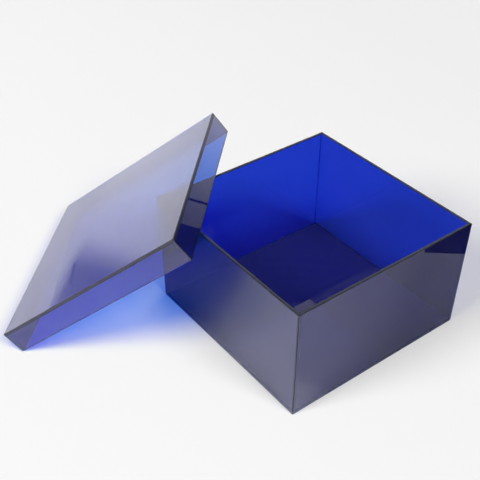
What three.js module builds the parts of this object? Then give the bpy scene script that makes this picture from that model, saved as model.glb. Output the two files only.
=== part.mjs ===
// Tiara box of clear blue acrylic sheet: an open tray, and a slip-over lid that leans on one of its corners.
// Millimetres, +Z up. The tray stands on z = 0, centred on the origin, with its front facing -Y.

import * as THREE from "three";
import { ConvexGeometry } from "three/addons/geometries/ConvexGeometry.js";

// Sizes of the two boxes
const SHEET = 3; // thickness of every panel
const TRAY_SIDE = 200; // outside width and depth of the tray
const TRAY_HEIGHT = 116; // outside height of the tray, base included
const LID_DEPTH = 25; // outside depth of the lid, top panel included
const SLIP_CLEARANCE = 1.25; // between a tray wall and the lid skirt that slips over it
const CEMENT_LINE = 0.3; // between two panels, filled by the cement that joins them
const ARRIS = 0.4; // taken off the free edges, at 45 degrees

// How the lid leans on the tray's back left corner
const LEAN_TURN = 44.5; // degrees from the tray's sides to the lid's, seen from above
const LEAN_DISTANCE = 116; // from the tray's corner to the lid's edge on the table, seen from above
const LEAN_SHIFT = 6; // from the tray's corner to the middle of the lid, along that edge
const LEAN_GAP = 0.3; // between the lid and what it leans on

// Sizes that follow from those above
const lidSide = TRAY_SIDE + 2 * (SLIP_CLEARANCE + SHEET);
const leanAngle = Math.max(angleOnCorner(), angleOnRims());

// The colour of the sheet where it is seen edge to edge with white light behind it
const TRAY_BLUE = 0x1c2f9e;
const LID_BLUE = 0x6a74b8;

// The lid's slope when the inside of its top panel lies on the tray's corner.
function angleOnCorner() {
  const inside = LID_DEPTH - SHEET - LEAN_GAP;
  const reach = Math.hypot(LEAN_DISTANCE, TRAY_HEIGHT);
  return Math.atan2(TRAY_HEIGHT, LEAN_DISTANCE) - Math.asin(inside / reach);
}

// The lid's slope when its high skirt lies on the tray's rims before the top panel reaches the corner.
function angleOnRims() {
  return Math.asin((TRAY_HEIGHT + LEAN_GAP) / (lidSide - SHEET));
}

function acrylic(colour) {
  return new THREE.MeshStandardMaterial({
    color: colour,
    roughness: 0.06,
    metalness: 0,
    transparent: true,
    opacity: 0.6,
  });
}

// A sheet panel that fills the given spans, with the arrises taken off one of its ends along Z.
// The end is "top" or "bottom", and easeX and easeY say which of its sides stay free of a neighbour.
function panel(name, colour, spanX, spanY, spanZ, { freeEnd, easeX, easeY }) {
  const [low, high] = spanZ;
  const tip = freeEnd === "top" ? high : low;
  const shoulder = freeEnd === "top" ? high - ARRIS : low + ARRIS;
  const foot = freeEnd === "top" ? low : high;
  const corners = [];
  for (const [level, inset] of [[foot, 0], [shoulder, 0], [tip, ARRIS]]) {
    const [left, right] = inward(spanX, easeX ? inset : 0);
    const [front, back] = inward(spanY, easeY ? inset : 0);
    for (const x of [left, right]) {
      for (const y of [front, back]) corners.push(new THREE.Vector3(x, y, level));
    }
  }
  const mesh = new THREE.Mesh(new ConvexGeometry(corners), acrylic(colour));
  mesh.name = name;
  return mesh;
}

function inward([low, high], inset) {
  return [low + inset, high - inset];
}

// A full-size plate and four walls, square in plan and centred on Z. The left and right walls run the full
// length, and the front and back walls stand between them.
function cementedBox({ side, plateSpan, wallSpan, freeEnd, colour, names }) {
  const half = side / 2;
  const full = [-half, half];
  const between = inward(full, SHEET + CEMENT_LINE);
  const lowSheet = [-half, -half + SHEET];
  const highSheet = [half - SHEET, half];
  const plateEnd = freeEnd === "top" ? "bottom" : "top";
  const plateEdges = { freeEnd: plateEnd, easeX: true, easeY: true };
  const longEdges = { freeEnd, easeX: true, easeY: true };
  const shortEdges = { freeEnd, easeX: false, easeY: true };
  const box = new THREE.Group();
  box.add(panel(names.plate, colour, full, full, plateSpan, plateEdges));
  box.add(panel(names.left, colour, lowSheet, full, wallSpan, longEdges));
  box.add(panel(names.right, colour, highSheet, full, wallSpan, longEdges));
  box.add(panel(names.front, colour, between, lowSheet, wallSpan, shortEdges));
  box.add(panel(names.back, colour, between, highSheet, wallSpan, shortEdges));
  return box;
}

// The tray: the plate is its base, and the rims of its walls are free.
function buildTray() {
  return cementedBox({
    side: TRAY_SIDE,
    plateSpan: [0, SHEET],
    wallSpan: [SHEET + CEMENT_LINE, TRAY_HEIGHT],
    freeEnd: "top",
    colour: TRAY_BLUE,
    names: {
      plate: "tray_base",
      left: "tray_left_wall",
      right: "tray_right_wall",
      front: "tray_front_wall",
      back: "tray_back_wall",
    },
  });
}

// The lid, as it sits when level: the plate is its top, and the lower edges of its skirts are free at z = 0.
function buildLid() {
  return cementedBox({
    side: lidSide,
    plateSpan: [LID_DEPTH - SHEET, LID_DEPTH],
    wallSpan: [0, LID_DEPTH - SHEET - CEMENT_LINE],
    freeEnd: "bottom",
    colour: LID_BLUE,
    names: {
      plate: "lid_top",
      left: "lid_left_skirt",
      right: "lid_right_skirt",
      front: "lid_front_skirt",
      back: "lid_back_skirt",
    },
  });
}

// Leans the lid: it turns about the lower edge of its left skirt, which lies on the table beside the tray.
function leanLid(lid) {
  lid.position.set(lidSide / 2, LEAN_SHIFT, 0);
  const slope = new THREE.Group();
  slope.rotation.y = -leanAngle;
  slope.position.x = -LEAN_DISTANCE;
  slope.add(lid);
  const atCorner = new THREE.Group();
  atCorner.rotation.z = -THREE.MathUtils.degToRad(LEAN_TURN);
  atCorner.position.set(-TRAY_SIDE / 2, TRAY_SIDE / 2, 0);
  atCorner.add(slope);
  return atCorner;
}

const tiaraBox = new THREE.Group();
tiaraBox.name = "tiara_box";
tiaraBox.add(buildTray());
tiaraBox.add(leanLid(buildLid()));

export default tiaraBox;
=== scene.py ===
"""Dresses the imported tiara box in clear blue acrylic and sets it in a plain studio.

The box is an open tray and a loose lid, each cemented from five panels of sheet. Every panel is built here
with eased free edges, polished faces and sawn edges, and a fine bead of cement runs along the inside of
every joint. Metres, in the part's own frame: +Z up, the tray standing on z = 0, its front wall facing -Y.
"""

import logging
import math
from dataclasses import dataclass, field, replace
from enum import Enum

import bmesh
import bpy
from mathutils import Matrix, Vector


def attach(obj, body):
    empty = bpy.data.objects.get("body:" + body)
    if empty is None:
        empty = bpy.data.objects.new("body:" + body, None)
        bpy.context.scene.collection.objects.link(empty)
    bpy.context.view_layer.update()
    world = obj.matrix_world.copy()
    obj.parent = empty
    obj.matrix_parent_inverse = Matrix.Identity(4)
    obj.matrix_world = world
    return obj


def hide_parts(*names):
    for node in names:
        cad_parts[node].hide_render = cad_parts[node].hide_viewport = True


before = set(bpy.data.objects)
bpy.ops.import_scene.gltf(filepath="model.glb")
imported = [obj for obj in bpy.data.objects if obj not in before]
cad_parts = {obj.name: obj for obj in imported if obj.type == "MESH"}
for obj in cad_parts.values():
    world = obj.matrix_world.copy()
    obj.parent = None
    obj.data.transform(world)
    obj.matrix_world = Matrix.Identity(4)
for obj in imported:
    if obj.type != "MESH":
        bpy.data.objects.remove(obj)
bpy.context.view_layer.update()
MM = 0.001
log = logging.getLogger("tiara_box")

Socket = bpy.types.NodeSocket
Colour = tuple[float, float, float]
Point = tuple[float, float, float]
Reach = tuple[float, float]
Side = tuple[int, int]

WHITE: Colour = (1.0, 1.0, 1.0)
WHOLE: Reach = (0.0, 1.0)
# How many surfaces a ray has passed where it leaves the first sheet in sight, and where it meets the next.
SURFACES_PASSED: Reach = (1.0, 2.0)
# A side of a block is an axis and a direction along it.
TOP_SIDE: Side = (2, 1)
BOTTOM_SIDE: Side = (2, -1)
# A face counts as square to an axis where its normal has at least this much of that axis.
SQUARE_ON = 0.99
ROUND_PROFILE = 0.5


class Role(Enum):
    """Where a panel stands in its box. The value is the axis of the box that runs through its thickness."""

    LONG_WALL = 0
    SHORT_WALL = 1
    PLATE = 2


class Surface(Enum):
    """How a face of a panel was made.

    The value is what the panel's `sawn` and `closed` attributes hold there: the share of saw marks, and how
    far the face hides the inside of the sheet.
    """

    POLISHED = (0.0, 0.0)
    END_ON = (0.0, 1.0)
    EASED = (1.0, 0.0)
    SAWN = (1.0, 0.15)
    RUBBED = (1.0, 0.2)


class NodeWriter:
    """Adds and joins the nodes of one shader or geometry tree."""

    def __init__(self, tree: bpy.types.NodeTree) -> None:
        """Starts from an empty tree."""
        self.tree = tree
        tree.nodes.clear()

    def add(
        self, kind: str, given: dict[str | int, object] | None = None, **values: object
    ) -> bpy.types.Node:
        """Adds a node.

        Args:
            kind: The node's Blender type name.
            given: What goes into the node's inputs, by socket name or number.
            **values: Values of the node's own properties.

        Returns:
            The new node.
        """
        node = self.tree.nodes.new(kind)
        for name, value in values.items():
            setattr(node, name, value)
        for name, value in (given or {}).items():
            self.feed(value, node.inputs[name])
        return node

    def feed(self, value: object, target: Socket) -> None:
        """Fills an input.

        Args:
            value: An output to link, or a plain value. A colour is given without its alpha.
            target: The input.
        """
        if isinstance(value, Socket):
            self.tree.links.new(value, target)
        elif isinstance(target, bpy.types.NodeSocketColor):
            target.default_value = (*value, 1.0)
        else:
            target.default_value = value

    def attribute(self, name: str, kind: str = "Fac") -> Socket:
        """Reads an attribute of the mesh."""
        return self.add("ShaderNodeAttribute", attribute_name=name).outputs[kind]

    def place(self, kind: str = "Object") -> Socket:
        """Reads where the shaded point lies."""
        return self.add("ShaderNodeTexCoord").outputs[kind]

    def split(self, vector: Socket) -> tuple[Socket, ...]:
        """Splits a vector into its three numbers."""
        return tuple(self.add("ShaderNodeSeparateXYZ", {0: vector}).outputs)

    def light_path(self, kind: str) -> Socket:
        """Reads what kind of ray asks, or how far it has come."""
        return self.add("ShaderNodeLightPath").outputs[kind]

    def noise(self, place: Socket, scale: float, detail: float, distortion: float = 0.0) -> Socket:
        """Makes a cloudy noise from 0 to 1."""
        given = {"Vector": place, "Scale": scale, "Detail": detail, "Distortion": distortion}
        return self.add("ShaderNodeTexNoise", given).outputs["Fac"]

    def arithmetic(self, operation: str, *numbers: float | Socket) -> Socket:
        """Works out one of Blender's Math operations on the numbers."""
        return self.add("ShaderNodeMath", dict(enumerate(numbers)), operation=operation).outputs[0]

    def scale(self, colour: Socket, level: Socket) -> Socket:
        """Multiplies a colour by a level."""
        return self.add("ShaderNodeVectorMath", {0: colour, "Scale": level}, operation="SCALE").outputs[0]

    def fade(
        self, source: Socket, reach: Reach, near: float | Socket, far: float, soft: bool = False
    ) -> Socket:
        """Fades from one level to another.

        Args:
            source: What the level follows.
            reach: Where the fade begins and ends.
            near: The level before it.
            far: The level after it.
            soft: Whether it begins and ends softly.

        Returns:
            The level.
        """
        start, end = reach
        given = {"Value": source, "From Min": start, "From Max": end, "To Min": near, "To Max": far}
        kind = "SMOOTHSTEP" if soft else "LINEAR"
        return self.add("ShaderNodeMapRange", given, interpolation_type=kind).outputs["Result"]

    def mix_levels(self, share: Socket, first: float | Socket, second: float | Socket) -> Socket:
        """Mixes two levels, with the second one's share. Blender's Mix node keeps levels at 2 and 3."""
        return self.add("ShaderNodeMix", {0: share, 2: first, 3: second}, data_type="FLOAT").outputs[0]

    def mix_colours(self, share: Socket, first: Colour | Socket, second: Colour | Socket) -> Socket:
        """Mixes two colours, with the second one's share. Blender's Mix node keeps colours at 6 and 7."""
        return self.add("ShaderNodeMix", {0: share, 6: first, 7: second}, data_type="RGBA").outputs[2]

    def mix_shaders(self, share: Socket, first: Socket, second: Socket) -> Socket:
        """Mixes two shaders, with the second one's share."""
        return self.add("ShaderNodeMixShader", {0: share, 1: first, 2: second}).outputs[0]


def start_material(name: str) -> tuple[bpy.types.Material, NodeWriter]:
    """Makes a material with an empty tree, and the writer for it."""
    made = bpy.data.materials.new(name)
    made.use_nodes = True
    return made, NodeWriter(made.node_tree)


@dataclass(frozen=True)
class AcrylicFinish:
    """Clear tinted acrylic sheet: a body colour that deepens with the way through it, under a glossy skin.

    A scale is in rounds of noise per metre, and a share is of the light.
    """

    name: str
    slot: str
    clear_share: Colour
    depth: float
    lamp_share: float
    surface_tint: Colour
    # painted shade: the colour and the skin fall to these shares on sheets seen through another sheet
    painted_shade_behind: float
    end_colour: Colour = (0.006, 0.01, 0.09)
    sawn_colour: Colour = (0.15, 0.19, 0.32)
    haze: float = 0.009
    ior: float = 1.49
    skin: float = 1.0
    sawn_skin: float = 0.1
    painted_skin_shade_behind: float = 1.0
    skin_ior: float = 1.5
    skin_roughness: float = 0.012
    cloud_scale: float = 14.0
    cloud_detail: float = 3.0
    cloud_share: float = 0.95
    clean_roughness: float = 0.012
    smear_roughness: float = 0.03
    smear_scale: float = 26.0
    smear_detail: float = 5.0
    smear_bend: float = 0.6
    smear_range: Reach = (0.45, 0.8)
    sawn_roughness: float = 0.24
    wave_length: float = 45 * MM
    wave_height: float = 0.04 * MM
    wave_detail: float = 1.0
    saw_pitch: float = 0.5 * MM
    saw_height: float = 0.02 * MM
    saw_detail: float = 2.0
    saw_stretch: float = 0.05

    def absorption(self) -> tuple[float, Colour]:
        """Works out the volume's settings.

        Returns:
            The density per metre, and the colour for which that depth leaves the clear share of the light.
        """
        loss = [-math.log(share) / self.depth for share in self.clear_share]
        density = max(loss)
        red, green, blue = (1 - value / density for value in loss)
        return density, (red, green, blue)

    def material(self) -> bpy.types.Material:
        """Builds the finish.

        Returns:
            The acrylic's material. Light from the lamps goes straight through it, with the body's colour.
        """
        made, write = start_material(self.name)
        place = write.place()
        sawn = write.attribute("sawn")
        closed = write.attribute("closed")
        dulled = write.fade(sawn, WHOLE, self.skin, self.sawn_skin)
        # painted shade: the skin dims on sheets seen through another sheet
        coat = write.arithmetic("MULTIPLY", dulled, self.seen_through(write, self.painted_skin_shade_behind))
        relief = self.relief(write, place, sawn)
        skin = write.add(
            "ShaderNodeBsdfPrincipled",
            {
                "Base Color": self.tint(write, place, sawn, closed),
                "Roughness": self.roughness(write, place, sawn),
                "IOR": self.ior,
                "Normal": relief,
                "Transmission Weight": write.fade(closed, WHOLE, 1.0 - self.haze, 0.0),
                "Coat Weight": coat,
                "Coat Roughness": self.skin_roughness,
                "Coat IOR": self.skin_ior,
                "Coat Normal": relief,
            },
        )
        clear = write.add("ShaderNodeBsdfTransparent", {"Color": [self.lamp_share] * 3})
        surface = skin.outputs[0]
        for passing in ("Is Diffuse Ray", "Is Shadow Ray"):
            surface = write.mix_shaders(write.light_path(passing), surface, clear.outputs[0])
        density, colour = self.absorption()
        body = write.add("ShaderNodeVolumeAbsorption", {"Color": colour, "Density": density})
        write.add("ShaderNodeOutputMaterial", {"Surface": surface, "Volume": body.outputs[0]})
        return made

    def tint(self, write: NodeWriter, place: Socket, sawn: Socket, closed: Socket) -> Socket:
        """Makes the surface colour: nearly clear, with faint clouding from the casting, dull on sawn edges.

        A sheet that is seen through another one is painted darker, a painted shade that stands in for the
        photograph, where only the first sheet stands in front of an overexposed white.

        Args:
            write: The material's node writer.
            place: Object coordinates.
            sawn: The share of sawn surface.
            closed: How far the face hides the inside of the sheet, which shows its deep colour there.

        Returns:
            The colour.
        """
        cloud = write.noise(place, self.cloud_scale, self.cloud_detail)
        red, green, blue = (self.cloud_share * value for value in self.surface_tint)
        clear = write.mix_colours(cloud, self.surface_tint, (red, green, blue))
        deep = write.mix_colours(closed, clear, self.end_colour)
        dull = write.mix_colours(sawn, deep, self.sawn_colour)
        # painted shade: the colour dims on sheets seen through another sheet
        return write.scale(dull, self.seen_through(write, self.painted_shade_behind))

    def seen_through(self, write: NodeWriter, share: float) -> Socket:
        """Makes a painted shade: a level that is whole on the first sheet in sight and falls to a share on
        sheets behind it.

        Args:
            write: The material's node writer.
            share: The level behind another sheet.

        Returns:
            The level.
        """
        return write.fade(write.light_path("Transmission Depth"), SURFACES_PASSED, 1.0, share)

    def roughness(self, write: NodeWriter, place: Socket, sawn: Socket) -> Socket:
        """Makes the roughness: clean, with faint smears from handling, and satin on sawn edges.

        Args:
            write: The material's node writer.
            place: Object coordinates.
            sawn: The share of sawn surface.

        Returns:
            The roughness.
        """
        smear = write.noise(place, self.smear_scale, self.smear_detail, self.smear_bend)
        polished = write.fade(smear, self.smear_range, self.clean_roughness, self.smear_roughness)
        return write.mix_levels(sawn, polished, self.sawn_roughness)

    def relief(self, write: NodeWriter, place: Socket, sawn: Socket) -> Socket:
        """Makes the bump: long low waves in the sheet, and saw marks through its thickness on the edges.

        Args:
            write: The material's node writer.
            place: Object coordinates.
            sawn: The share of sawn surface.

        Returns:
            The normal.
        """
        wave = write.noise(place, 1 / self.wave_length, self.wave_detail)
        waves = write.add("ShaderNodeBump", {"Height": wave, "Distance": self.wave_height})
        along = write.attribute("sheet_place", "Vector")
        drawn = write.add("ShaderNodeMapping", {"Vector": along, "Scale": (1.0, 1.0, self.saw_stretch)})
        marks = write.noise(drawn.outputs[0], 1 / self.saw_pitch, self.saw_detail)
        sawing = write.add(
            "ShaderNodeBump",
            {"Height": marks, "Strength": sawn, "Distance": self.saw_height, "Normal": waves.outputs[0]},
        )
        return sawing.outputs[0]


@dataclass
class CementSeams:
    """The fine bead of cement along the inside of every joint of one box, with small drops on it."""

    radius: float = 0.03 * MM
    swelling: float = 0.4
    step: float = 2.5 * MM
    drop_spacing: float = 34 * MM
    drop_radius: float = 0.05 * MM
    sides: int = 8
    seed: int = 7
    ripple_scale: float = 160.0
    ripple_detail: float = 2.0
    ripple_range: Reach = (0.3, 0.7)
    drop_steps: int = 2
    drop_sizes: Reach = (0.5, 1.0)

    def inputs(self) -> dict[str, float | int]:
        """The sizes that the bead's node tree takes in, by name."""
        return {
            "Radius": self.radius,
            "Swelling": self.swelling,
            "Step": self.step,
            "Drop Spacing": self.drop_spacing,
            "Drop Radius": self.drop_radius,
            "Sides": self.sides,
            "Seed": self.seed,
        }

    def tree(self, material: bpy.types.Material) -> bpy.types.NodeTree:
        """Builds the geometry nodes that run a bead along the seam lines.

        Args:
            material: The finish of the cement.

        Returns:
            The node tree, with named inputs for its sizes.
        """
        tree = bpy.data.node_groups.new("cement_bead", "GeometryNodeTree")
        write = NodeWriter(tree)
        tree.interface.new_socket("Seams", in_out="INPUT", socket_type="NodeSocketGeometry")
        for name, value in self.inputs().items():
            kind = "NodeSocketInt" if isinstance(value, int) else "NodeSocketFloat"
            tree.interface.new_socket(name, in_out="INPUT", socket_type=kind)
        tree.interface.new_socket("Bead", in_out="OUTPUT", socket_type="NodeSocketGeometry")
        given = write.add("NodeGroupInput").outputs

        lines = write.add("GeometryNodeMeshToCurve", {"Mesh": given["Seams"]}).outputs[0]
        both = write.add("GeometryNodeJoinGeometry")
        write.feed(self.bead(write, given, lines), both.inputs[0])
        write.feed(self.drops(write, given, lines), both.inputs[0])
        real = write.add("GeometryNodeRealizeInstances", {0: both.outputs[0]})
        dressed = write.add("GeometryNodeSetMaterial", {0: real.outputs[0], "Material": material})
        write.add("NodeGroupOutput", {0: dressed.outputs[0]})
        return tree

    def bead(self, write: NodeWriter, given: bpy.types.NodeOutputs, lines: Socket) -> Socket:
        """Makes the bead, which swells and thins along its way.

        Args:
            write: The tree's node writer.
            given: The tree's inputs.
            lines: The seams as curves.

        Returns:
            The bead's mesh.
        """
        steps = {"Curve": lines, "Length": given["Step"]}
        fine = write.add("GeometryNodeResampleCurve", steps, mode="LENGTH")
        ripple = write.add("ShaderNodeTexNoise", {"Scale": self.ripple_scale, "Detail": self.ripple_detail})
        thinnest = write.arithmetic("SUBTRACT", 1.0, given["Swelling"])
        swell = write.fade(ripple.outputs["Fac"], self.ripple_range, thinnest, 1.0)
        round_size = {"Resolution": given["Sides"], "Radius": given["Radius"]}
        ring = write.add("GeometryNodeCurvePrimitiveCircle", round_size, mode="RADIUS")
        run = write.add(
            "GeometryNodeCurveToMesh",
            {
                "Curve": fine.outputs[0],
                "Profile Curve": ring.outputs[0],
                "Scale": swell,
                "Fill Caps": True,
            },
        )
        return run.outputs[0]

    def drops(self, write: NodeWriter, given: bpy.types.NodeOutputs, lines: Socket) -> Socket:
        """Makes the drops, which stand at even steps and vary in size.

        Args:
            write: The tree's node writer.
            given: The tree's inputs.
            lines: The seams as curves.

        Returns:
            The drops as instances.
        """
        steps = {"Curve": lines, "Length": given["Drop Spacing"]}
        spots = write.add("GeometryNodeCurveToPoints", steps, mode="LENGTH")
        ball = {"Radius": given["Drop Radius"], "Subdivisions": self.drop_steps}
        drop = write.add("GeometryNodeMeshIcoSphere", ball)
        least, most = self.drop_sizes
        sizes = {2: least, 3: most, "Seed": given["Seed"]}
        vary = write.add("FunctionNodeRandomValue", sizes, data_type="FLOAT")
        stood = write.add(
            "GeometryNodeInstanceOnPoints",
            {
                "Points": spots.outputs["Points"],
                "Instance": drop.outputs["Mesh"],
                "Scale": vary.outputs[1],
            },
        )
        return stood.outputs[0]

    def build(
        self, name: str, lines: list[tuple[Vector, Vector]], place: Matrix, material: bpy.types.Material
    ) -> bpy.types.Object:
        """Runs the bead along the given seams.

        Args:
            name: The piece's name.
            lines: Start and end of each seam, in the box's own frame.
            place: From the box's own frame to the part's.
            material: The finish of the cement.

        Returns:
            The bead as one plain mesh.
        """
        wire = bpy.data.meshes.new(name + "_seams")
        ends = [place @ point for line in lines for point in line]
        wire.from_pydata(ends, [(i, i + 1) for i in range(0, len(ends), 2)], [])
        carrier = bpy.data.objects.new(name + "_seams", wire)
        bpy.context.scene.collection.objects.link(carrier)
        nodes = carrier.modifiers.new("cement", "NODES")
        nodes.node_group = self.tree(material)
        given = self.inputs()
        for socket in nodes.node_group.interface.items_tree:
            if socket.name in given:
                nodes[socket.identifier] = given[socket.name]
        depsgraph = bpy.context.evaluated_depsgraph_get()
        mesh = bpy.data.meshes.new_from_object(carrier.evaluated_get(depsgraph))
        mesh.name = name
        bpy.data.objects.remove(carrier)
        piece = bpy.data.objects.new(name, mesh)
        bpy.context.scene.collection.objects.link(piece)
        return piece


@dataclass
class CementedBox:
    """Five panels of sheet cemented into an open box: one plate and four walls that stand on its edges."""

    body: str
    wall_finish: AcrylicFinish
    plate_finish: AcrylicFinish
    plate_edge: Surface
    plate_ease: Surface
    plate: str
    long_walls: tuple[str, str]
    short_walls: tuple[str, str]
    cement_name: str
    cement_line: float = 0.3 * MM
    weld_gap: float = 0.02 * MM
    eased_edge: float = 0.7 * MM
    eased_steps: int = 3
    seams: CementSeams = field(default_factory=CementSeams)

    def corners(self, node: str) -> list[Vector]:
        """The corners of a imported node's mesh."""
        return [vertex.co.copy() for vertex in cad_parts[node].data.vertices]

    def centre(self, node: str) -> Vector:
        """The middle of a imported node's corners."""
        found = self.corners(node)
        return sum(found, Vector()) / len(found)

    def own_frame(self) -> Matrix:
        """Finds how the box stands.

        Returns:
            From the box's own frame to the part's. X runs from one long wall to the other, and Z from the
            plate to the free edges of the walls.
        """
        low, high = (self.centre(node) for node in self.long_walls)
        rise = (low + high) / 2 - self.centre(self.plate)
        normals = [(b - a).cross(c - a) for a, b, c in self.plate_triangles()]
        flat = max(normals, key=lambda normal: normal.length).normalized()
        up = flat if flat.dot(rise) > 0 else -flat
        across = (high - low).normalized()
        across = (across - up * across.dot(up)).normalized()
        turned = Matrix((across, up.cross(across), up)).transposed().to_4x4()
        return Matrix.Translation(self.centre(self.plate)) @ turned

    def plate_triangles(self) -> list[tuple[Vector, Vector, Vector]]:
        """The triangles of the plate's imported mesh."""
        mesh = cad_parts[self.plate].data
        mesh.calc_loop_triangles()
        return [tuple(mesh.vertices[i].co for i in part.vertices) for part in mesh.loop_triangles]

    def span(self, node: str, inward: Matrix) -> tuple[Vector, Vector]:
        """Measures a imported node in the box's own frame.

        Args:
            node: The node's name.
            inward: From the part's frame to the box's own.

        Returns:
            The lowest and highest corner.
        """
        found = [inward @ corner for corner in self.corners(node)]
        low = Vector(min(point[axis] for point in found) for axis in range(3))
        high = Vector(max(point[axis] for point in found) for axis in range(3))
        return low, high

    def roles(self) -> dict[str, Role]:
        """Each panel's node and where it stands."""
        return {
            self.plate: Role.PLATE,
            **dict.fromkeys(self.long_walls, Role.LONG_WALL),
            **dict.fromkeys(self.short_walls, Role.SHORT_WALL),
        }

    def square_edge(self, role: Role, outward: int, sides: set[Side]) -> bool:
        """Says whether an edge of a panel meets a neighbour, so that it stays square.

        Args:
            role: Where the panel stands.
            outward: The direction, along the axis through its thickness, that faces out of the box.
            sides: The two sides that meet at the edge.

        Returns:
            True for a square edge, False for an eased one.
        """
        if role is Role.PLATE:
            return TOP_SIDE in sides
        if BOTTOM_SIDE in sides:
            return True
        ends = {(1 - role.value, -1), (1 - role.value, 1)}
        if role is Role.SHORT_WALL:
            return bool(ends & sides)
        return bool(ends & sides) and (role.value, -outward) in sides

    def build_panel(
        self, node: str, role: Role, place: Matrix, material: bpy.types.Material
    ) -> bpy.types.Object:
        """Builds one panel with eased free edges.

        Args:
            node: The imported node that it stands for, whose name it takes with _sheet added.
            role: Where the panel stands.
            place: From the box's own frame to the part's.
            material: The sheet's finish.

        Returns:
            The panel's object.
        """
        low, high = self.span(node, place.inverted())
        outward = 1 if (low + high)[role.value] > 0 else -1
        weld = self.cement_line - self.weld_gap
        if role is not Role.PLATE:
            low.z -= weld
        if role is Role.SHORT_WALL:
            low.x -= weld
            high.x += weld

        bm = bmesh.new()
        bmesh.ops.create_cube(bm, size=1.0)
        size = high - low
        bmesh.ops.transform(bm, verts=bm.verts, matrix=Matrix.Diagonal((*size, 1.0)))
        bmesh.ops.translate(bm, verts=bm.verts, vec=(low + high) / 2)
        bm.normal_update()
        eased = [edge for edge in bm.edges if not self.square_edge(role, outward, edge_sides(edge))]
        bmesh.ops.bevel(
            bm,
            geom=eased,
            offset=self.eased_edge,
            segments=self.eased_steps,
            profile=ROUND_PROFILE,
            affect="EDGES",
        )
        self.mark_surfaces(bm, role, low)
        bmesh.ops.transform(bm, verts=bm.verts, matrix=place)
        bm.normal_update()
        mesh = bpy.data.meshes.new(node + "_sheet")
        bm.to_mesh(mesh)
        bm.free()
        mesh.materials.append(material)
        piece = bpy.data.objects.new(node + "_sheet", mesh)
        bpy.context.scene.collection.objects.link(piece)
        return piece

    def surface(self, role: Role, normal: Vector) -> Surface:
        """Says how a face of a panel was made.

        Args:
            role: Where the panel stands.
            normal: The face's normal, in the box's own frame.

        Returns:
            The kind of surface.
        """
        facing = [abs(share) > SQUARE_ON for share in normal]
        broad = facing[role.value]
        abuts = role is Role.SHORT_WALL and facing[0]
        flush = role is Role.LONG_WALL and facing[1]
        stands = role is not Role.PLATE and normal.z < -SQUARE_ON
        if broad or abuts:
            return Surface.POLISHED
        if flush or stands:
            return Surface.END_ON
        if any(facing):
            return self.plate_edge if role is Role.PLATE else Surface.SAWN
        return self.plate_ease if role is Role.PLATE else Surface.EASED

    def mark_surfaces(self, bm: bmesh.types.BMesh, role: Role, low: Vector) -> None:
        """Marks how each face was made, and each point's place along, across and through the sheet.

        Args:
            bm: The panel's mesh, in the box's own frame.
            role: Where the panel stands.
            low: The panel's lowest corner.
        """
        sawn = bm.faces.layers.float.new("sawn")
        closed = bm.faces.layers.float.new("closed")
        place = bm.verts.layers.float_vector.new("sheet_place")
        through = role.value
        along, across = (axis for axis in range(3) if axis != through)
        bm.normal_update()
        for face in bm.faces:
            face[sawn], face[closed] = self.surface(role, face.normal).value
            face.smooth = False
        for vert in bm.verts:
            local = vert.co - low
            vert[place] = Vector((local[along], local[across], local[through]))

    def seam_lines(self, inward: Matrix) -> list[tuple[Vector, Vector]]:
        """Lists the inside corners where cement stands.

        Args:
            inward: From the part's frame to the box's own.

        Returns:
            The start and end of each seam's bead, in the box's own frame.
        """
        spans = {node: self.span(node, inward) for node in self.roles()}
        stand = self.seams.radius + self.weld_gap
        floor = spans[self.plate][1].z + stand
        rim = spans[self.long_walls[0]][1].z - 2 * self.eased_edge
        left, right = sorted(self.long_walls, key=lambda node: spans[node][0].x)
        front, back = sorted(self.short_walls, key=lambda node: spans[node][0].y)
        west, east = spans[left][1].x + stand, spans[right][0].x - stand
        south, north = spans[front][1].y + stand, spans[back][0].y - stand
        ring = [(west, south), (east, south), (east, north), (west, north)]
        lines = []
        for (x, y), (next_x, next_y) in zip(ring, ring[1:] + ring[:1]):
            lines.append((Vector((x, y, floor)), Vector((next_x, next_y, floor))))
            lines.append((Vector((x, y, floor)), Vector((x, y, rim))))
        return lines

    def dress(self) -> None:
        """Builds every panel and the cement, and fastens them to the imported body."""
        walls, plate = self.wall_finish.material(), self.plate_finish.material()
        place = self.own_frame()
        for node, role in self.roles().items():
            piece = self.build_panel(node, role, place, plate if role is Role.PLATE else walls)
            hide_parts(node)
            self.fasten(piece)
        bead = self.seams.build(self.cement_name, self.seam_lines(place.inverted()), place, walls)
        self.fasten(bead)

    def fasten(self, piece: bpy.types.Object) -> None:
        """Makes a piece ride on the box's body, and reports it."""
        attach(piece, self.body)
        log.info("%s rides on %s with %d faces", piece.name, self.body, len(piece.data.polygons))


def edge_sides(edge: bmesh.types.BMEdge) -> set[Side]:
    """The two sides of a square-cornered block that meet at an edge."""
    sides = set()
    for face in edge.link_faces:
        axis = max(range(3), key=lambda i: abs(face.normal[i]))
        sides.add((axis, 1 if face.normal[axis] > 0 else -1))
    return sides


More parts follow.
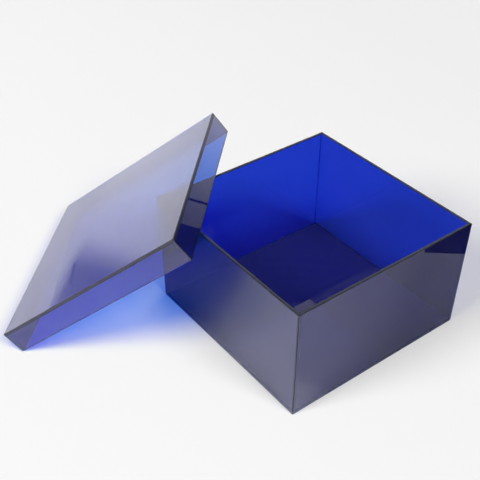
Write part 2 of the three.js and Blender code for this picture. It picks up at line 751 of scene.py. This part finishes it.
@dataclass(frozen=True)
class TableFinish:
    """White table top: matt and faintly uneven, with a painted shade that greys it a little to the right.

    Gloss sees a painted reflection of its own on it, with painted shade and light, which stands in for the
    parts of the room that the photograph shows only as reflections. A reach is where a fade begins and ends,
    and a lean is how much of the way to the back is added to the way to the right.
    """

    name: str = "white_table"
    # painted shade: the table greys from the left colour to the shaded right colour, as if the light fell
    # off to the right
    left_colour: Colour = (0.885, 0.885, 0.888)
    shaded_right_colour: Colour = (0.80, 0.80, 0.80)
    painted_shade_reach: Reach = (-0.3, 0.6)
    uneven_scale: float = 3.0
    uneven_detail: float = 2.0
    uneven_way: float = 0.1
    glass_bright: float = 1.12
    # painted blue light in reflection near the box, fading to white further back at the white reach
    painted_blue_light: Colour = (1.0, 1.0, 1.15)
    white_reach: Reach = (0.15, 0.35)
    # painted shade and light in reflection: darker to the front right, brighter far back
    beside_lean: float = -0.5
    side_reach: Reach = (-0.25, -0.1)
    painted_side_shade: tuple[float, float] = (0.99, 0.85)
    corner_reach: Reach = (-0.1, -0.04)
    painted_corner_shade: tuple[float, float] = (1.2, 0.31)
    front_lean: float = 1.5
    front_reach: Reach = (-0.29, -0.12)
    painted_front_shade: tuple[float, float] = (0.7, 0.31)
    far_reach: Reach = (0.35, 1.0)
    painted_far_light: float = 1.26
    pool_centre: Point = (-0.12, 0.11, 0.0)
    # painted reflection of the pool of blue light, deeper towards the back, with a painted shadow under the
    # lid
    pool_gloss_reach: Reach = (0.05, 0.14)
    painted_pool_reflection: Colour = (0.35, 0.39, 0.68)
    deep_reach: Reach = (0.07, 0.15)
    painted_deep_pool_reflection: Colour = (0.6, 0.4, 0.95)
    under_reach: Reach = (0.14, 0.16)
    painted_lid_shadow: float = 0.1
    # painted shade that glass sees in the pool of blue light under the lid
    pool_glass_reach: Reach = (0.05, 0.2)
    painted_pool_shade: float = 0.68

    def material(self) -> bpy.types.Material:
        """Builds the finish.

        Returns:
            The table's material. Glass shows it white, with a painted shade that dims it in the pool of blue
            light under the lid, and gloss shows a painted reflection on it.
        """
        made, write = start_material(self.name)
        place = write.place()
        right, back, _ = write.split(place)
        pool = write.add("ShaderNodeVectorMath", {0: place, 1: self.pool_centre}, operation="DISTANCE")
        away = pool.outputs["Value"]
        # painted shade: glass sees the table dimmer in the pool under the lid
        shaded_pool_level = self.painted_pool_shade * self.glass_bright
        in_glass = write.fade(away, self.pool_glass_reach, shaded_pool_level, self.glass_bright, soft=True)
        painted_reflection = self.painted_reflection(write, right, back, away)
        # glossy rays see the painted reflection
        level = write.mix_colours(write.light_path("Is Glossy Ray"), WHITE, painted_reflection)
        level = write.mix_colours(write.light_path("Is Transmission Ray"), level, in_glass)
        plain = self.plain(write, place, right)
        shown = write.add("ShaderNodeVectorMath", {0: plain, 1: level}, operation="MULTIPLY")
        top = write.add("ShaderNodeBsdfDiffuse", {"Color": shown.outputs[0]})
        write.add("ShaderNodeOutputMaterial", {"Surface": top.outputs[0]})
        return made

    def plain(self, write: NodeWriter, place: Socket, right: Socket) -> Socket:
        """Makes the table's colour: its own faint unevenness, under a painted shade that greys it towards
        the right.

        Args:
            write: The material's node writer.
            place: Object coordinates.
            right: The way to the right.

        Returns:
            The colour.
        """
        uneven = write.noise(place, self.uneven_scale, self.uneven_detail)
        across = write.arithmetic("MULTIPLY_ADD", uneven, self.uneven_way, right)
        # painted shade, greyer towards the right
        return write.mix_colours(
            write.fade(across, self.painted_shade_reach, *WHOLE), self.left_colour, self.shaded_right_colour
        )

    def painted_reflection(self, write: NodeWriter, right: Socket, back: Socket, away: Socket) -> Socket:
        """Makes the painted reflection that gloss sees on the table.

        It is painted darker towards the front right, where the room is dim, and brighter far back. The pool
        of blue light is painted in with a colour of its own, deeper towards the back, and a painted shadow
        darkens it under the lid. Outside the pool a faint painted blue light tints it, which fades to white
        further back.

        Args:
            write: The material's node writer.
            right: The way to the right.
            back: The way to the back.
            away: The distance from the middle of the pool.

        Returns:
            The colour.
        """
        # painted shade: darker to the front right, brighter far back
        behind = write.arithmetic("MAXIMUM", back, 0.0)
        beside = write.arithmetic("MULTIPLY_ADD", behind, self.beside_lean, right)
        side = write.fade(beside, self.side_reach, *self.painted_side_shade)
        corner = write.fade(beside, self.corner_reach, *self.painted_corner_shade)
        ahead = write.arithmetic("MULTIPLY_ADD", back, self.front_lean, right)
        front = write.fade(ahead, self.front_reach, *self.painted_front_shade)
        dim = write.arithmetic("MAXIMUM", write.arithmetic("MINIMUM", side, corner), front)
        far = write.fade(back, self.far_reach, 1.0, self.painted_far_light, soft=True)
        level = write.arithmetic("MULTIPLY", dim, far)

        # painted reflection of the pool, with a painted shadow under the lid
        deep = write.fade(back, self.deep_reach, *WHOLE, soft=True)
        under = write.fade(back, self.under_reach, 1.0, self.painted_lid_shadow, soft=True)
        pool = write.scale(write.mix_colours(deep, self.painted_pool_reflection, self.painted_deep_pool_reflection), under)
        # painted blue light outside the pool, white further back
        distant = write.fade(back, self.white_reach, *WHOLE, soft=True)
        bare = write.mix_colours(distant, self.painted_blue_light, WHITE)
        outside = write.fade(away, self.pool_gloss_reach, *WHOLE, soft=True)
        return write.scale(write.mix_colours(outside, pool, bare), level)


def hang(lamp: bpy.types.Light, place: Vector, towards: Vector) -> None:
    """Adds a lamp to the scene, where gloss doesn't show it.

    Args:
        lamp: The lamp's settings.
        place: Where it hangs.
        towards: The direction from what it lights to the lamp.
    """
    holder = bpy.data.objects.new(lamp.name, lamp)
    holder.location = place
    holder.rotation_euler = (-towards).to_track_quat("-Z", "Y").to_euler()
    holder.visible_glossy = False
    bpy.context.scene.collection.objects.link(holder)


@dataclass(frozen=True)
class Softbox:
    """A round diffused lamp, far enough away to light the whole table alike. Its spread is in degrees."""

    name: str
    towards: Point
    spread: float
    strength: float

    def build(self) -> None:
        """Adds the lamp to the scene."""
        lamp = bpy.data.lights.new(self.name, "SUN")
        lamp.angle = math.radians(self.spread)
        lamp.energy = self.strength
        hang(lamp, Vector(self.towards), Vector(self.towards))


@dataclass(frozen=True)
class SpotLamp:
    """A small soft lamp that lights one round place on the table."""

    name: str
    aim: Point
    towards: Point
    reach: float
    strength: float
    distance: float = 1.5
    radius: float = 0.02
    softness: float = 1.0

    def build(self) -> None:
        """Adds the lamp to the scene."""
        lamp = bpy.data.lights.new(self.name, "SPOT")
        lamp.energy = 4 * math.pi * self.distance**2 * self.strength
        lamp.spot_size = 2 * math.atan(self.reach / self.distance)
        lamp.spot_blend = self.softness
        lamp.shadow_soft_size = self.radius
        towards = Vector(self.towards).normalized()
        hang(lamp, Vector(self.aim) + towards * self.distance, towards)


def flat_sheet(
    name: str, centre: Vector, across: Vector, up: Vector, material: bpy.types.Material
) -> bpy.types.Object:
    """Builds a flat sheet with four corners.

    Args:
        name: The sheet's name.
        centre: Its middle.
        across: From its middle to its right side.
        up: From its middle to its upper side.
        material: Its finish.

    Returns:
        The sheet's object, whose texture coordinates run from 0 to 1 across it and up it.
    """
    mesh = bpy.data.meshes.new(name)
    corners = ((0, 0), (1, 0), (1, 1), (0, 1))
    points = [centre + across * (2 * x - 1) + up * (2 * y - 1) for x, y in corners]
    mesh.from_pydata(points, [], [range(len(points))])
    layer = mesh.uv_layers.new(name="sheet")
    for loop, corner in zip(layer.data, corners):
        loop.uv = corner
    mesh.materials.append(material)
    sheet = bpy.data.objects.new(name, mesh)
    bpy.context.scene.collection.objects.link(sheet)
    return sheet


@dataclass(frozen=True)
class Card:
    """A glowing grey card that stands beside the table, out of the picture, and shows only in gloss: a
    painted reflection.

    A soft share is how much of its width or height fades out towards its two sides.
    """

    name: str
    centre: Point
    half_across: Point
    half_up: Point
    shade: float = 0.01
    soft_across: float = 0.0
    soft_up: float = 0.0

    def build(self) -> None:
        """Stands the card on the set."""
        sides = (Vector(side) for side in (self.centre, self.half_across, self.half_up))
        card = flat_sheet(self.name, *sides, self.material())
        card.visible_camera = False
        card.visible_diffuse = False
        card.visible_transmission = False
        card.visible_shadow = False

    def material(self) -> bpy.types.Material:
        """Builds the card's finish.

        Returns:
            A flat glowing grey, a painted reflection, that fades to nothing over the soft edges.
        """
        made, write = start_material(self.name)
        across, up, _ = write.split(write.place("UV"))
        cover = write.arithmetic(
            "MULTIPLY", self.cover(write, across, self.soft_across), self.cover(write, up, self.soft_up)
        )
        # painted reflection: the card glows grey, and only gloss sees it
        grey = write.add("ShaderNodeEmission", {"Color": [self.shade] * 3})
        nothing = write.add("ShaderNodeBsdfTransparent")
        shown = write.mix_shaders(cover, nothing.outputs[0], grey.outputs[0])
        write.add("ShaderNodeOutputMaterial", {"Surface": shown})
        return made

    def cover(self, write: NodeWriter, along: Socket, soft: float) -> float | Socket:
        """Makes how much of the card shows along one way across it.

        Args:
            write: The material's node writer.
            along: The place along that way, from 0 to 1.
            soft: The share of it that fades out.

        Returns:
            The level, which is whole all along where nothing fades.
        """
        if not soft:
            return 1.0
        from_side = write.arithmetic("PINGPONG", along, 1 / 2)
        return write.fade(from_side, (0.0, soft / 2), *WHOLE, soft=True)


@dataclass
class Studio:
    """The table, the lamps, the cards that paint reflections, the surroundings and the camera."""

    table_half: float = 6.0
    fill: float = 0.02
    horizon: float = 1.0
    zenith: float = 0.5
    zenith_reach: Reach = (0.0, 0.7)
    backdrop: float = 1.0
    camera_place: Point = (-0.4172, -0.4443, 0.5448)
    camera_azimuth: float = -37.09
    camera_elevation: float = 41.12
    lens: float = 61.6
    sensor: float = 36.0
    shift_y: float = 0.114
    softboxes: tuple[Softbox, ...] = (
        Softbox("left_softbox", (-1.34, 0.17, 1.0), spread=26.0, strength=2.16),
        Softbox("front_softbox", (0.14, -0.97, 1.0), spread=24.0, strength=1.46),
        Softbox("top_softbox", (-0.21, -0.32, 1.0), spread=24.0, strength=1.06),
    )
    back_lamp: SpotLamp = SpotLamp(
        "back_lamp", aim=(-0.091, 0.119, 0.0), towards=(1.0, 0.3, 0.9), reach=30 * MM, strength=0.67
    )
    # painted reflections: glowing grey cards that only gloss sees, for dark and pale parts of the room
    reflection_cards: tuple[Card, ...] = (
        Card(
            "right_card",
            centre=(0.336, -0.04, 0.175),
            half_across=(0.178, 0.149, 0.0),
            half_up=(0.0, 0.0, 0.175),
        ),
        Card(
            "grey_card",
            centre=(0.53, 0.1, 0.14),
            half_across=(0.0, 0.26, 0.0),
            half_up=(0.0, 0.0, 0.3),
            shade=0.2,
            soft_across=1.0,
        ),
        Card(
            "stand_card",
            centre=(0.49, 0.146, 0.2),
            half_across=(0.0, 0.002, 0.0),
            half_up=(0.0, 0.0, 0.2),
            shade=0.02,
        ),
        Card(
            "far_card",
            centre=(-0.209, 0.5, 0.057),
            half_across=(0.0925, 0.0, 0.015),
            half_up=(0.0, 0.0, 0.058),
            shade=0.2,
            soft_across=0.65,
            soft_up=0.3,
        ),
        Card(
            "pale_card",
            centre=(-0.18, 0.51, 0.1),
            half_across=(0.2, 0.0, 0.0),
            half_up=(0.0, 0.0, 0.1),
            shade=0.84,
            soft_across=1.0,
        ),
        Card(
            "crease_card",
            centre=(-0.182, 0.498, 0.0185),
            half_across=(0.015, 0.0, -0.001),
            half_up=(0.0, 0.0, 0.003),
            soft_up=0.8,
        ),
    )

    def build(self) -> None:
        """Builds the whole set."""
        self.build_table()
        self.build_surroundings()
        for item in (*self.softboxes, self.back_lamp, *self.reflection_cards):
            item.build()
        self.build_camera()
        bpy.context.scene.view_settings.view_transform = "Standard"

    def build_table(self) -> None:
        """Lays the table top under the object."""
        across, up = Vector((self.table_half, 0.0, 0.0)), Vector((0.0, self.table_half, 0.0))
        table = flat_sheet("table", Vector(), across, up, TableFinish().material())

    def build_surroundings(self) -> None:
        """Sets the world: a low fill, which gloss and glass see as a white room that greys overhead."""
        world = bpy.data.worlds.new("white_room")
        world.use_nodes = True
        bpy.context.scene.world = world
        write = NodeWriter(world.node_tree)
        _, _, height = write.split(write.place("Generated"))
        room = write.fade(height, self.zenith_reach, self.horizon, self.zenith)
        in_sheet = write.arithmetic(
            "MAXIMUM", write.light_path("Is Glossy Ray"), write.light_path("Is Transmission Ray")
        )
        strength = write.mix_levels(in_sheet, self.fill, room)
        shown = write.mix_levels(write.light_path("Is Camera Ray"), strength, self.backdrop)
        light = write.add("ShaderNodeBackground", {"Color": WHITE, "Strength": shown})
        write.add("ShaderNodeOutputWorld", {"Surface": light.outputs[0]})

    def build_camera(self) -> None:
        """Places the camera where the photograph was taken from."""
        lens = bpy.data.cameras.new("camera")
        lens.sensor_width = self.sensor
        lens.lens = self.lens
        lens.shift_y = self.shift_y
        camera = bpy.data.objects.new("camera", lens)
        camera.location = self.camera_place
        level = math.radians(90 - self.camera_elevation)
        camera.rotation_euler = (level, 0.0, math.radians(self.camera_azimuth))
        bpy.context.scene.collection.objects.link(camera)
        bpy.context.scene.camera = camera


TRAY_ACRYLIC = AcrylicFinish(
    name="tray_acrylic",
    slot="tray_acrylic",
    clear_share=(0.009, 0.038, 0.6),
    depth=3.6 * MM,
    lamp_share=0.64,
    surface_tint=WHITE,
    painted_shade_behind=0.085,
    painted_skin_shade_behind=0.1,
)
TRAY_BASE_ACRYLIC = replace(
    TRAY_ACRYLIC,
    name="tray_base_acrylic",
    painted_shade_behind=0.95,
    painted_skin_shade_behind=1.0,
    haze=0.014,
)
LID_ACRYLIC = AcrylicFinish(
    name="lid_acrylic",
    slot="lid_acrylic",
    clear_share=(0.012, 0.195, 0.93),
    depth=3.6 * MM,
    lamp_share=0.985,
    surface_tint=(0.82, 0.71, 0.7),
    sawn_colour=(0.11, 0.12, 0.12),
    sawn_skin=0.3,
    painted_shade_behind=0.42,
    skin_ior=1.6,
)
LID_TOP_ACRYLIC = replace(
    LID_ACRYLIC,
    name="lid_top_acrylic",
    surface_tint=(0.82, 0.71, 0.65),
    clean_roughness=0.18,
    smear_roughness=0.22,
    skin_ior=1.69,
)


def main() -> None:
    """Builds the tray, the lid and the studio in order."""
    logging.basicConfig(level=logging.INFO)
    tray = CementedBox(
        body="tray",
        wall_finish=TRAY_ACRYLIC,
        plate_finish=TRAY_BASE_ACRYLIC,
        plate_edge=Surface.END_ON,
        plate_ease=Surface.END_ON,
        plate="tray_base",
        long_walls=("tray_left_wall", "tray_right_wall"),
        short_walls=("tray_front_wall", "tray_back_wall"),
        cement_name="tray_cement",
    )
    lid = CementedBox(
        body="lid",
        wall_finish=LID_ACRYLIC,
        plate_finish=LID_TOP_ACRYLIC,
        plate_edge=Surface.SAWN,
        plate_ease=Surface.RUBBED,
        plate="lid_top",
        long_walls=("lid_left_skirt", "lid_right_skirt"),
        short_walls=("lid_front_skirt", "lid_back_skirt"),
        cement_name="lid_cement",
    )
    tray.dress()
    lid.dress()
    Studio().build()


if __name__ == "__main__":
    main()
